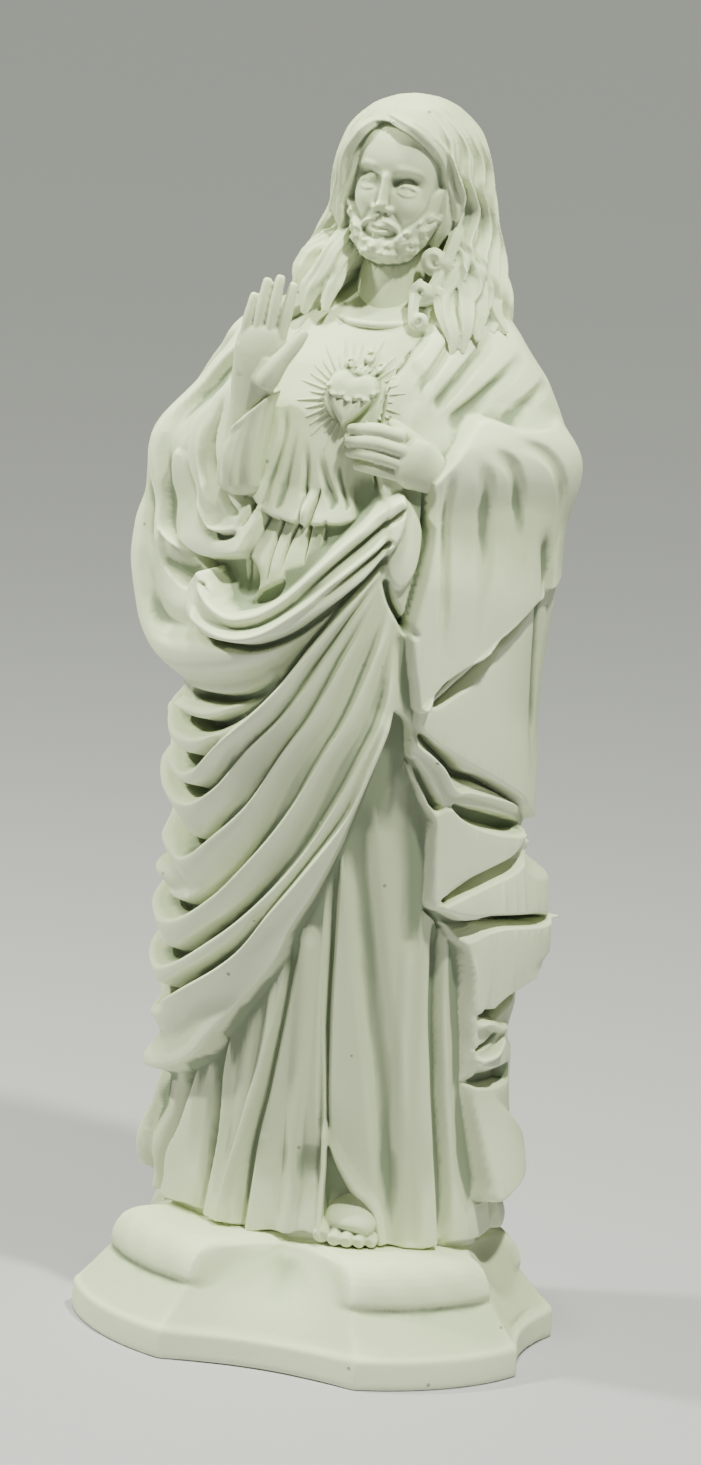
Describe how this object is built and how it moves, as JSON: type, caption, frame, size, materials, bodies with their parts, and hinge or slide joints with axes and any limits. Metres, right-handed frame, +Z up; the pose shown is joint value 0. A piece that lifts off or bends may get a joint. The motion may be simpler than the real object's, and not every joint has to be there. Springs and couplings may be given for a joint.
{
  "type": "sacred heart statue",
  "caption": "White plaster statuette of a robed, bearded figure with a raised hand and a heart in relief on the chest, cast in one with a scalloped base; stands by its own weight.",
  "frame": {"origin": "middle of the base's underside", "axes": "+Z up through the figure, the figure faces -Y, +X is the figure's left"},
  "size_m": [0.1146, 0.0922, 0.3046],
  "materials": {
    "plaster": "matt, unpainted, slightly chalky"
  },
  "bodies": {
    "root": {"sacred_heart_statue": "plaster"}
  },
  "joints": []
}
